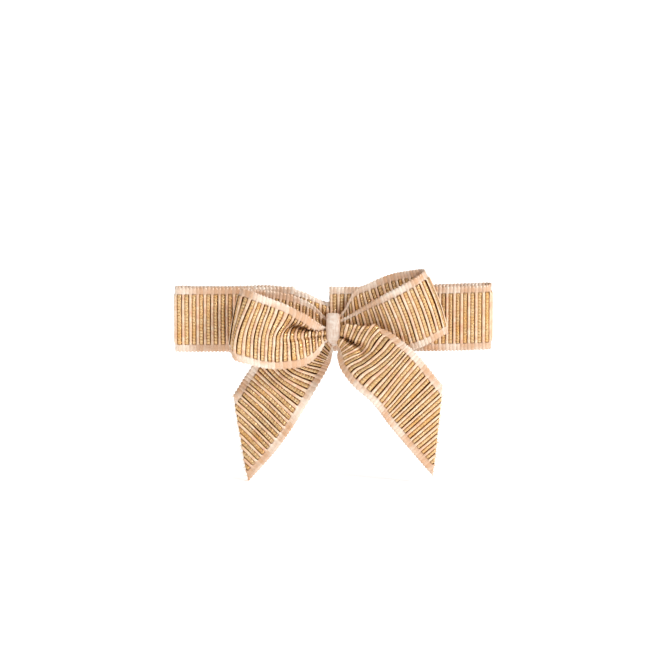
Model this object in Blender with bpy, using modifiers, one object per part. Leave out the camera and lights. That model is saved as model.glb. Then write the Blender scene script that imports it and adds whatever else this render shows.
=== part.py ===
"""Pre-made gift bow: a ribbed ribbon bow on a flat ribbon band with a peel-off sticky back.

The bow faces -Y, +X is to its right and +Z is up.  The origin lies on the outer face of the
release liner, straight behind the knot, and everything else stands in front of it (y < 0).
Points are written in millimetres and turned into metres by ``metres``.
"""

import math

import bmesh
import bpy
from mathutils import Matrix, Vector

MM = 0.001

# --- driving dimensions (mm) ------------------------------------------------------------
RIBBON_WIDTH = 16.0
RIBBON_THICKNESS = 0.4

LINER_THICKNESS = 0.2
LINER_SIZE = (19.5, 7.6)
PAD_THICKNESS = 0.8
PAD_SIZE = (18.0, 6.4)
PAD_CORNER = 1.2
TAB_LENGTH = 3.0
TAB_HEIGHT = 4.8

LINER_GAP = 0.3
BAND_GAP = 0.35
PAD_BACK = -(LINER_THICKNESS + LINER_GAP)
BAND_BACK = PAD_BACK - PAD_THICKNESS - BAND_GAP - RIBBON_THICKNESS / 2

BAND_CENTRE_Z = 1.9
BAND_LEFT = -38.9
BAND_RIGHT = 38.7
LEFT_CUT_END = -9.6
RIGHT_CUT_END = -0.97
FLAP_Y = -3.3
LEFT_FOLD_FRONT = -4.25
RIGHT_FOLD_FRONT = -6.1
LEFT_FOLD_REACH = 0.9
RIGHT_FOLD_REACH = 1.7
FLAP_FLAT = 7.0

FLAP_GLUE_SIZE = (5.0, 0.4, 10.0)
FLAP_GLUE_Y = -2.6
FLAP_GLUE_INSET = 1.0
BOW_GLUE_SIZE = (4.2, 0.5, 4.4)
BOW_GLUE_Y = -4.1

KNOT_Y = -7.25
BUNDLE_SIZE = (7.2, 4.0, 6.6)
WRAP_WIDTH = 3.4
WRAP_THICKNESS = 0.3
WRAP_HALF_DEPTH = 2.45
WRAP_HALF_HEIGHT = 3.8
WRAP_ROUNDNESS = 2.6
WRAP_SEAM = 0.6

# --- rungs across each limb of the bow: (inner or upper edge), (outer or lower edge) -----
LEFT_LOOP_RUNGS = [
    ((-4.0, -9.1, 1.7), (-4.0, -9.3, -5.8)),
    ((-8.0, -12.0, 5.0), (-7.2, -12.0, -7.9)),
    ((-12.4, -14.2, 7.6), (-13.0, -14.2, -8.6)),
    ((-18.0, -14.9, 9.4), (-19.7, -14.9, -6.7)),
    ((-21.6, -13.6, 10.8), (-24.2, -13.6, -5.0)),
    ((-22.3, -11.4, 10.7), (-25.3, -11.4, -4.7)),
    ((-21.2, -9.3, 10.3), (-24.2, -9.3, -5.2)),
    ((-15.4, -8.2, 9.6), (-17.0, -8.2, -6.2)),
    ((-8.4, -7.6, 7.7), (-9.0, -7.6, -5.5)),
    ((-4.0, -7.2, 5.1), (-4.0, -7.2, -3.0)),
]
RIGHT_LOOP_RUNGS = [
    ((4.0, -7.4, 3.9), (4.0, -7.4, -2.6)),
    ((8.6, -10.4, 6.9), (10.2, -10.4, -4.4)),
    ((13.4, -13.4, 9.9), (17.8, -13.4, -4.7)),
    ((18.5, -14.2, 12.8), (23.7, -14.2, -2.2)),
    ((21.5, -13.0, 14.5), (26.7, -13.0, -0.7)),
    ((22.2, -10.4, 14.8), (27.6, -10.4, -0.3)),
    ((21.0, -7.9, 14.7), (26.5, -7.9, -0.5)),
    ((15.3, -7.1, 13.8), (20.3, -7.1, -1.5)),
    ((8.4, -6.4, 11.0), (11.0, -6.4, -3.0)),
    ((4.0, -5.8, 7.6), (4.0, -5.8, -2.8)),
]
LEFT_TAIL_RUNGS = [
    ((-1.2, -5.5, -5.4), (-6.0, -5.5, 0.2)),
    ((-1.3, -5.4, -9.0), (-12.5, -5.4, -1.7)),
    ((-4.5, -5.6, -14.7), (-17.8, -5.6, -5.7)),
    ((-9.6, -6.4, -23.2), (-22.4, -6.4, -13.2)),
    ((-20.8, -9.0, -36.9), (-24.5, -7.0, -16.6)),
]
RIGHT_TAIL_RUNGS = [
    ((1.8, -9.6, -5.2), (6.0, -9.6, 1.5)),
    ((2.4, -13.8, -8.9), (11.4, -13.8, 1.4)),
    ((7.8, -16.2, -14.8), (18.2, -16.2, -3.5)),
    ((14.0, -15.8, -22.6), (24.8, -15.8, -10.5)),
    ((24.0, -12.5, -35.2), (26.0, -13.5, -13.2)),
]

# --- mesh fineness ------------------------------------------------------------------------
LIMB_ROWS = 4
STEPS_PER_RUNG = 3
ARC_STEPS = 6
FLAT_STEPS = 5
WRAP_STEPS = 36

GOLD = (0.62, 0.42, 0.20, 1.0)
SATIN = (0.93, 0.82, 0.74, 1.0)
GLUE = (0.88, 0.84, 0.72, 1.0)
FOAM = (0.94, 0.94, 0.92, 1.0)
PAPER = (0.86, 0.83, 0.74, 1.0)


def clear_scene():
    """Remove every object that the file opened with."""
    for obj in list(bpy.data.objects):
        bpy.data.objects.remove(obj)


def metres(point):
    """A point in millimetres as a Vector in metres."""
    return Vector(point) * MM


def material(name, colour, roughness, metallic=0.0):
    """A Principled material."""
    mat = bpy.data.materials.new(name)
    mat.use_nodes = True
    shader = mat.node_tree.nodes["Principled BSDF"]
    shader.inputs["Base Color"].default_value = colour
    shader.inputs["Roughness"].default_value = roughness
    shader.inputs["Metallic"].default_value = metallic
    return mat


def add_object(name, bm, mat, collection, smooth=True):
    """Store a bmesh as a named object in the bow's collection."""
    mesh = bpy.data.meshes.new(name)
    bmesh.ops.recalc_face_normals(bm, faces=bm.faces)
    bm.to_mesh(mesh)
    bm.free()
    mesh.materials.append(mat)
    if smooth:
        mesh.shade_smooth()
    obj = bpy.data.objects.new(name, mesh)
    collection.objects.link(obj)
    return obj


def smooth_between(before, start, end, after, t):
    """Catmull-Rom point between ``start`` and ``end``."""
    a = 2 * start
    b = end - before
    c = 2 * before - 5 * start + 4 * end - after
    d = 3 * start - before - 3 * end + after
    return 0.5 * (a + b * t + c * t * t + d * t ** 3)


def set_origin(obj, origin):
    """Move an object's origin without moving its shape."""
    obj.data.transform(Matrix.Translation(-origin))
    obj.location = origin


def curve_point(points, t):
    """Point on the smooth curve through ``points``; t runs from 0 to 1 along the list."""
    place = t * (len(points) - 1)
    index = min(int(place), len(points) - 2)
    start, end = points[index], points[index + 1]
    before = points[index - 1] if index > 0 else 2 * start - end
    after = points[index + 2] if index + 2 < len(points) else 2 * end - start
    return smooth_between(before, start, end, after, place - index)


def mapped_strip(name, place, steps, rows, thickness, mat, collection):
    """A strip of cloth: a grid mapped by ``place(t, s)`` and given its thickness.

    t runs 0 to 1 along the strip and s runs 0 to 1 across it.
    """
    bm = bmesh.new()
    bmesh.ops.create_grid(bm, x_segments=steps, y_segments=rows, size=1.0)
    for vert in bm.verts:
        t = (vert.co.x + 1) / 2
        s = (vert.co.y + 1) / 2
        vert.co = metres(place(t, s))
    obj = add_object(name, bm, mat, collection)
    solidify = obj.modifiers.new("Thickness", "SOLIDIFY")
    solidify.thickness = thickness * MM
    solidify.offset = 0
    solidify.use_even_offset = True
    return obj


def limb(name, rungs, mat, collection):
    """One loop or tail of the bow: a strip stretched smoothly across its rungs."""
    inner = [Vector(rung[0]) for rung in rungs]
    outer = [Vector(rung[1]) for rung in rungs]

    def place(t, s):
        return curve_point(inner, t).lerp(curve_point(outer, t), s)

    steps = STEPS_PER_RUNG * (len(rungs) - 1)
    return mapped_strip(name, place, steps, LIMB_ROWS, RIBBON_THICKNESS, mat, collection)


def half_ellipse(centre, reach, front, back, side, steps):
    """Points round an end fold of the band, from its front layer to its back layer."""
    middle = (front + back) / 2
    points = []
    for step in range(steps + 1):
        angle = math.pi * step / steps
        x = centre + side * reach * math.sin(angle)
        y = middle + (front - middle) * math.cos(angle)
        points.append((x, y))
    return points


def flap(cut_end, fold, fold_front, side):
    """Front layer of the band, from its cut end behind the knot out to the end fold.

    ``fold`` and ``fold_front`` are x and y where the fold begins; ``side`` is 1 on the right.
    """
    points = [(cut_end, FLAP_Y)]
    start = cut_end + side * FLAP_FLAT
    for step in range(FLAT_STEPS):
        share = step / FLAT_STEPS
        x = start + (fold - start) * share
        y = FLAP_Y + (fold_front - FLAP_Y) * (1 - math.cos(math.pi * share)) / 2
        points.append((x, y))
    return points


def band_path():
    """Centre line of the band seen from above: right flap, right fold, back, left fold, left flap."""
    right_fold = BAND_RIGHT - RIBBON_THICKNESS / 2 - RIGHT_FOLD_REACH
    left_fold = BAND_LEFT + RIBBON_THICKNESS / 2 + LEFT_FOLD_REACH
    path = flap(RIGHT_CUT_END, right_fold, RIGHT_FOLD_FRONT, 1)
    path += half_ellipse(right_fold, RIGHT_FOLD_REACH, RIGHT_FOLD_FRONT, BAND_BACK, 1, ARC_STEPS)
    for step in range(1, FLAT_STEPS):
        share = step / FLAT_STEPS
        path.append((right_fold + (left_fold - right_fold) * share, BAND_BACK))
    fold = half_ellipse(left_fold, LEFT_FOLD_REACH, LEFT_FOLD_FRONT, BAND_BACK, -1, ARC_STEPS)
    path += fold[::-1]
    path += flap(LEFT_CUT_END, left_fold, LEFT_FOLD_FRONT, -1)[::-1]
    return path


def band(mat, collection):
    """The flat ribbon band: a closed loop whose cut ends lie side by side behind the bow."""
    path = band_path()

    def place(t, s):
        x, y = path[round(t * (len(path) - 1))]
        return (x, y, BAND_CENTRE_Z + RIBBON_WIDTH * (s - 0.5))

    return mapped_strip(
        "band_ribbon", place, len(path) - 1, 2, RIBBON_THICKNESS, mat, collection
    )


def knot_wrap(mat, collection):
    """The narrow satin strip round the pinch; its ends meet at the back."""
    outline = superellipse_angles(WRAP_STEPS)

    def place(t, s):
        angle = outline[round(t * WRAP_STEPS)]
        cos, sin = math.cos(angle), math.sin(angle)
        power = 2 / WRAP_ROUNDNESS
        y = KNOT_Y + WRAP_HALF_DEPTH * math.copysign(abs(cos) ** power, cos)
        z = WRAP_HALF_HEIGHT * math.copysign(abs(sin) ** power, sin)
        return (WRAP_WIDTH * (s - 0.5), y, z)

    return mapped_strip("knot_wrap", place, WRAP_STEPS, 2, WRAP_THICKNESS, mat, collection)


def superellipse_angles(steps):
    """Angles round the knot from one side of the back seam to the other."""
    seam = 0.5 * (WRAP_SEAM / WRAP_HALF_HEIGHT) ** (WRAP_ROUNDNESS / 2)
    return [seam + (2 * math.pi - 2 * seam) * step / steps for step in range(steps + 1)]


def rounded_blob(name, centre, size, mat, collection, segments=20, rings=10):
    """A smooth lump: a sphere scaled to ``size``."""
    bm = bmesh.new()
    bmesh.ops.create_uvsphere(bm, u_segments=segments, v_segments=rings, radius=0.5)
    bmesh.ops.scale(bm, vec=metres(size), verts=bm.verts)
    bmesh.ops.translate(bm, vec=metres(centre), verts=bm.verts)
    return add_object(name, bm, mat, collection)


def glue_dab(name, centre, size, mat, collection):
    """A pressed-flat dab of hot-melt glue: a squat cylinder with an oval outline."""
    bm = bmesh.new()
    bmesh.ops.create_cone(
        bm, cap_ends=True, segments=20, radius1=0.5, radius2=0.45, depth=1.0
    )
    quarter_turn = Vector((0, 0, 1)).rotation_difference(Vector((0, -1, 0)))
    bmesh.ops.rotate(bm, matrix=quarter_turn.to_matrix(), verts=bm.verts)
    bmesh.ops.scale(bm, vec=metres(size), verts=bm.verts)
    bmesh.ops.translate(bm, vec=metres(centre), verts=bm.verts)
    return add_object(name, bm, mat, collection, smooth=False)


def rounded_outline(width, height, radius, steps=4):
    """Corner arcs of a rounded rectangle, anticlockwise."""
    corners = [(1, 1), (-1, 1), (-1, -1), (1, -1)]
    points = []
    for number, (sx, sz) in enumerate(corners):
        for step in range(steps + 1):
            angle = math.pi / 2 * (number + step / steps)
            x = sx * (width / 2 - radius) + radius * math.cos(angle)
            z = sz * (height / 2 - radius) + radius * math.sin(angle)
            points.append((x, z))
    return points


def plate(name, outline, back, thickness, mat, collection):
    """A flat sheet centred behind the band, with its rear face at y = ``back``."""
    bm = bmesh.new()
    verts = [bm.verts.new(metres((x, back, BAND_CENTRE_Z + z))) for x, z in outline]
    face = bm.faces.new(verts)
    front = bmesh.ops.extrude_face_region(bm, geom=[face])
    moved = [item for item in front["geom"] if isinstance(item, bmesh.types.BMVert)]
    bmesh.ops.translate(bm, vec=metres((0, -thickness, 0)), verts=moved)
    return add_object(name, bm, mat, collection, smooth=False)


def liner_outline():
    """Release liner: a rounded rectangle with a lifting tab on its right edge."""
    tab_right = LINER_SIZE[0] / 2 + TAB_LENGTH
    outline = rounded_outline(*LINER_SIZE, PAD_CORNER)
    tab = [(LINER_SIZE[0] / 2, -TAB_HEIGHT / 2), (tab_right, -TAB_HEIGHT / 3)]
    tab += [(tab_right, TAB_HEIGHT / 3), (LINER_SIZE[0] / 2, TAB_HEIGHT / 2)]
    return outline + tab


def liner(mat, collection):
    """The peel-off liner, whose origin is on the edge that it peels about."""
    obj = plate("release_liner", liner_outline(), 0.0, LINER_THICKNESS, mat, collection)
    set_origin(obj, metres((-LINER_SIZE[0] / 2, -LINER_THICKNESS / 2, BAND_CENTRE_Z)))
    return obj


def bow(ribbon, collection):
    """The four limbs of the bow, each with its origin on the axis that it swings about."""
    pivot = metres((0, KNOT_Y, 0))
    limbs = {
        "left_loop": LEFT_LOOP_RUNGS,
        "right_loop": RIGHT_LOOP_RUNGS,
        "left_tail": LEFT_TAIL_RUNGS,
        "right_tail": RIGHT_TAIL_RUNGS,
    }
    for name, rungs in limbs.items():
        set_origin(limb(name, rungs, ribbon, collection), pivot)


def glue_dabs(collection):
    """Hot-melt dabs: one under each flap of the band and one that holds the bow on."""
    mat = material("hot_melt_glue", GLUE, 0.35)
    inset = FLAP_GLUE_SIZE[0] / 2 + FLAP_GLUE_INSET
    flap_left = (LEFT_CUT_END - inset, FLAP_GLUE_Y, BAND_CENTRE_Z)
    flap_right = (RIGHT_CUT_END + inset, FLAP_GLUE_Y, BAND_CENTRE_Z)
    glue_dab("left_flap_glue", flap_left, FLAP_GLUE_SIZE, mat, collection)
    glue_dab("right_flap_glue", flap_right, FLAP_GLUE_SIZE, mat, collection)
    glue_dab("bow_glue", (0, BOW_GLUE_Y, 0), BOW_GLUE_SIZE, mat, collection)


def main():
    """Build the bow."""
    clear_scene()
    collection = bpy.data.collections.new("gift_bow")
    bpy.context.scene.collection.children.link(collection)
    ribbon = material("gold_ribbed_ribbon", GOLD, 0.4, 0.5)
    satin = material("pale_satin", SATIN, 0.35)
    band(ribbon, collection)
    bow(ribbon, collection)
    rounded_blob("bow_centre", (0, KNOT_Y, 0), BUNDLE_SIZE, ribbon, collection)
    knot_wrap(satin, collection)
    glue_dabs(collection)
    pad_outline = rounded_outline(*PAD_SIZE, PAD_CORNER)
    foam = material("foam_tape", FOAM, 0.8)
    plate("adhesive_pad", pad_outline, PAD_BACK, PAD_THICKNESS, foam, collection)
    liner(material("liner_paper", PAPER, 0.5), collection)


main()
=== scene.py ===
"""Looks of the pre-made gift bow: ribbed satin-and-gold ribbon, satin knot strip and sticky back.

Lengths in the tables are millimetres in the frame's own axes: the bow faces -Y and +Z is up.
"""

from __future__ import annotations

import logging
import math
from dataclasses import dataclass, field
from enum import Enum
from typing import Iterable, Sequence

import bmesh
import bpy
import numpy as np
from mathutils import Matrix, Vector

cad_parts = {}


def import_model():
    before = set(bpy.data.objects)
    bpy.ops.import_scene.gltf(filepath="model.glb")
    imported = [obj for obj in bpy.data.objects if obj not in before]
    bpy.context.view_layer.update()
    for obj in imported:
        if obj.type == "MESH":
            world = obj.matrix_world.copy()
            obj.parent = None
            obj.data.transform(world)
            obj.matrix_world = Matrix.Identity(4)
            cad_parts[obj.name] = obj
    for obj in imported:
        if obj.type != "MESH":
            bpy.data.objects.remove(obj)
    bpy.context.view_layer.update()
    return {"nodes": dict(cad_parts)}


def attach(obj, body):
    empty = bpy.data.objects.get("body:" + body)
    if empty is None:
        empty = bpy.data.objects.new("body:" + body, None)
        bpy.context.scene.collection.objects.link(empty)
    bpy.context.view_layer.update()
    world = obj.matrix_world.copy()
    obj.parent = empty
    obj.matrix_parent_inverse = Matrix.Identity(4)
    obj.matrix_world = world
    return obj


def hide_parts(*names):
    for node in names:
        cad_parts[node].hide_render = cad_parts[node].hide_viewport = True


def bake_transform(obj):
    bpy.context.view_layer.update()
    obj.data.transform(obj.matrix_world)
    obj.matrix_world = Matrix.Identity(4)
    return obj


LOG = logging.getLogger("gift_bow")
MM = 0.001
Point = tuple[float, float, float]


class Socket:
    """An output socket whose operators add the matching Math nodes."""

    def __init__(self, graph: "Graph", out: bpy.types.NodeSocket) -> None:
        """Wrap ``out``, a socket of ``graph``."""
        self.graph = graph
        self.out = out

    def _math(self, operation: str, *values: "Socket | float", clamp: bool = False) -> "Socket":
        """Add one Math node.

        Args:
            operation: the Math node's operation.
            values: its inputs, in order.
            clamp: whether the result is held between 0 and 1.

        Returns:
            The node's result.
        """
        settings = {"operation": operation, "use_clamp": clamp}
        return self.graph.node("ShaderNodeMath", settings, *values)

    def __add__(self, other: "Socket | float") -> "Socket":
        """Sum."""
        return self._math("ADD", self, other)

    __radd__ = __add__

    def __sub__(self, other: "Socket | float") -> "Socket":
        """Difference."""
        return self._math("SUBTRACT", self, other)

    def __rsub__(self, other: float) -> "Socket":
        """Reflected difference."""
        return self._math("SUBTRACT", other, self)

    def __mul__(self, other: "Socket | float") -> "Socket":
        """Product."""
        return self._math("MULTIPLY", self, other)

    __rmul__ = __mul__

    def __truediv__(self, other: "Socket | float") -> "Socket":
        """Quotient."""
        return self._math("DIVIDE", self, other)

    def __pow__(self, other: "Socket | float") -> "Socket":
        """Power."""
        return self._math("POWER", self, other)

    def fract(self) -> "Socket":
        """Fractional part."""
        return self._math("FRACT", self)

    def floor(self) -> "Socket":
        """Whole part."""
        return self._math("FLOOR", self)

    def abs(self) -> "Socket":
        """Absolute value."""
        return self._math("ABSOLUTE", self)

    def sine(self) -> "Socket":
        """Sine."""
        return self._math("SINE", self)

    def root(self) -> "Socket":
        """Square root."""
        return self._math("SQRT", self)

    def at_least(self, low: "Socket | float") -> "Socket":
        """The larger of this and ``low``."""
        return self._math("MAXIMUM", self, low)

    def clamped(self) -> "Socket":
        """This, held between 0 and 1."""
        return self._math("ADD", self, 0.0, clamp=True)

    def ramp(self, start: float, end: float) -> "Socket":
        """0 at ``start`` rising to 1 at ``end``, held at both."""
        return self._math("MULTIPLY", self - start, 1.0 / (end - start), clamp=True)


class Graph:
    """A node tree that is written as expressions."""

    def __init__(self, tree: bpy.types.NodeTree) -> None:
        """Wrap ``tree``."""
        self.tree = tree

    def node(
        self, kind: str, settings: dict | None = None, *values: object, **named: object
    ) -> Socket:
        """Add a node.

        Args:
            kind: the node's type.
            settings: attributes set before any input.
            values: the inputs in order, None to leave one alone.
            named: inputs by name, with _ for a space.

        Returns:
            The node's first output.
        """
        made = self.tree.nodes.new(kind)
        for key, value in (settings or {}).items():
            setattr(made, key, value)
        for number, value in enumerate(values):
            self.feed(made.inputs[number], value)
        for key, value in named.items():
            self.feed(made.inputs[key.replace("_", " ")], value)
        first = next((out for out in made.outputs if out.enabled), None)
        return Socket(self, first)

    def feed(self, target: bpy.types.NodeSocket, value: object) -> None:
        """Link a socket to ``target``, or set it to a constant."""
        if value is None:
            return
        if isinstance(value, Socket):
            self.tree.links.new(value.out, target)
        else:
            target.default_value = value

    def other(self, socket: Socket, name: str) -> Socket:
        """Another output of the node that ``socket`` belongs to."""
        return Socket(self, socket.out.node.outputs[name])


class Shader(Graph):
    """A material's node tree."""

    def __init__(self, name: str) -> None:
        """Start a material called ``name`` with one Principled BSDF."""
        self.material = bpy.data.materials.new(name)
        self.material.use_nodes = True
        super().__init__(self.material.node_tree)
        self.principled = self.tree.nodes["Principled BSDF"]

    def surface(self, **inputs: object) -> bpy.types.Material:
        """Set the Principled BSDF's inputs and return the material."""
        for key, value in inputs.items():
            self.feed(self.principled.inputs[key.replace("_", " ")], value)
        return self.material

    def mix(self, factor: Socket | float, first: object, second: object) -> Socket:
        """Blend two colours."""
        made = self.tree.nodes.new("ShaderNodeMix")
        made.data_type = "RGBA"
        ports = {port.identifier: port for port in made.inputs}
        self.feed(ports["Factor_Float"], factor)
        self.feed(ports["A_Color"], first)
        self.feed(ports["B_Color"], second)
        result = next(port for port in made.outputs if port.identifier == "Result_Color")
        return Socket(self, result)

    def pair(self, x: Socket, y: Socket) -> Socket:
        """A vector from two values, for a pattern that reads them as a place."""
        return self.node("ShaderNodeCombineXYZ", None, x, y)

    def chance(self, number: Socket) -> Socket:
        """A fixed random value between 0 and 1 for each whole number."""
        return self.node("ShaderNodeTexWhiteNoise", {"noise_dimensions": "1D"}, W=number)

    def bump(self, height: Socket, distance: float, strength: float = 1.0) -> Socket:
        """A Bump node driven by ``height``."""
        sizes = {"Distance": distance, "Strength": strength}
        return self.node("ShaderNodeBump", None, Height=height, **sizes)

    def noise(self, vector: Socket, scale: float, detail: float = 2.0) -> Socket:
        """Noise between 0 and 1."""
        return self.node("ShaderNodeTexNoise", None, Vector=vector, Scale=scale, Detail=detail)


class GeometryTree(Graph):
    """A Geometry Nodes group with a geometry in and out and named sizes."""

    def __init__(self, name: str, sizes: dict[str, float]) -> None:
        """Start a group.

        Args:
            name: the group's name.
            sizes: each named input and its value.
        """
        super().__init__(bpy.data.node_groups.new(name, "GeometryNodeTree"))
        self.sizes = sizes
        face = self.tree.interface
        face.new_socket("Geometry", in_out="INPUT", socket_type="NodeSocketGeometry")
        for size in sizes:
            face.new_socket(size, in_out="INPUT", socket_type="NodeSocketFloat")
        face.new_socket("Geometry", in_out="OUTPUT", socket_type="NodeSocketGeometry")
        self.start = self.tree.nodes.new("NodeGroupInput")
        self.end = self.tree.nodes.new("NodeGroupOutput")

    def size(self, name: str) -> Socket:
        """The named input."""
        return Socket(self, self.start.outputs[name])

    def geometry(self) -> Socket:
        """The geometry that comes in."""
        return Socket(self, self.start.outputs["Geometry"])

    def finish(self, geometry: Socket, material: bpy.types.Material) -> None:
        """Realise the instances, give them their material and send them out."""
        real = self.node("GeometryNodeRealizeInstances", None, geometry)
        dressed = self.node("GeometryNodeSetMaterial", None, real, Material=material)
        self.feed(self.end.inputs["Geometry"], dressed)

    def apply_to(self, piece: bpy.types.Object) -> bpy.types.Object:
        """Run the group on ``piece`` and return the plain mesh that comes out."""
        modifier = piece.modifiers.new(self.tree.name, "NODES")
        modifier.node_group = self.tree
        for item in self.tree.interface.items_tree:
            if item.in_out == "INPUT" and item.name in self.sizes:
                modifier[item.identifier] = self.sizes[item.name]
        return plain_mesh(piece)


def plain_mesh(piece: bpy.types.Object) -> bpy.types.Object:
    """Replace a piece by the plain mesh that its modifiers make."""
    bpy.context.view_layer.update()
    graph = bpy.context.evaluated_depsgraph_get()
    mesh = bpy.data.meshes.new_from_object(piece.evaluated_get(graph))
    name = piece.name
    bpy.data.objects.remove(piece)
    mesh.name = name
    return link(bpy.data.objects.new(name, mesh))


def link(piece: bpy.types.Object) -> bpy.types.Object:
    """Put a piece in the scene."""
    bpy.context.scene.collection.objects.link(piece)
    return piece


def mesh_piece(
    name: str, verts: Iterable, faces: Iterable, edges: Iterable = ()
) -> bpy.types.Object:
    """A mesh object from points in millimetres."""
    mesh = bpy.data.meshes.new(name)
    scaled = (np.asarray(list(verts), float) * MM).tolist()
    mesh.from_pydata(scaled, list(edges), list(faces))
    mesh.update()
    return link(bpy.data.objects.new(name, mesh))


# ---------------------------------------------------------------- ribbon geometry


class SmoothPath:
    """A smooth curve through points whose spacing may vary."""

    def __init__(self, points: np.ndarray, knots: np.ndarray) -> None:
        """Fit the curve.

        Args:
            points: one row a point; further axes are carried along.
            knots: the distance along the curve of each point.
        """
        self.points = points
        self.knots = knots
        shape = (-1,) + (1,) * (points.ndim - 1)
        steps = np.diff(knots).reshape(shape)
        slopes = np.diff(points, axis=0) / steps
        inner = (slopes[:-1] * steps[1:] + slopes[1:] * steps[:-1]) / (steps[:-1] + steps[1:])
        self.tangents = np.concatenate([slopes[:1], inner, slopes[-1:]])

    def at(self, places: np.ndarray) -> np.ndarray:
        """Points at the given distances."""
        index = np.clip(np.searchsorted(self.knots, places) - 1, 0, len(self.knots) - 2)
        shape = (-1,) + (1,) * (self.points.ndim - 1)
        step = (self.knots[index + 1] - self.knots[index]).reshape(shape)
        t = (places - self.knots[index]).reshape(shape) / step
        first, last = self.points[index], self.points[index + 1]
        leave, arrive = self.tangents[index] * step, self.tangents[index + 1] * step
        cube, square = t**3, t**2
        return (
            (2 * cube - 3 * square + 1) * first
            + (cube - 2 * square + t) * leave
            + (3 * square - 2 * cube) * last
            + (cube - square) * arrive
        )


def run_lengths(points: np.ndarray) -> np.ndarray:
    """Distance of each point along its polyline."""
    steps = np.linalg.norm(np.diff(points, axis=0), axis=1)
    return np.concatenate([[0.0], np.cumsum(steps)])


def even_points(points: Sequence[Point], count: int) -> np.ndarray:
    """``count`` evenly spaced points on the smooth curve through ``points``."""
    given = np.array(points, float)
    knots = run_lengths(given)
    dense = SmoothPath(given, knots).at(np.linspace(0, knots[-1], 4 * count))
    lengths = run_lengths(dense)
    wanted = np.linspace(0, lengths[-1], count)
    return np.stack([np.interp(wanted, lengths, dense[:, axis]) for axis in range(3)], axis=1)


@dataclass(frozen=True)
class RibbonStock:
    """The ribbon that the bow and the band are cut from (mm)."""

    width: float = 16.0
    rib_pitch: float = 1.77
    selvedge: float = 1.65
    thickness: float = 0.2
    satin_height: float = 0.4
    gold_height: float = 0.24
    weft_turns_per_rib: int = 2
    picot: float = 0.22
    columns_per_rib: int = 14


@dataclass
class CutEnd:
    """Where the ribbon was cut: the points along its edge and the way that it faces."""

    line: np.ndarray
    outwards: Vector


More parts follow.
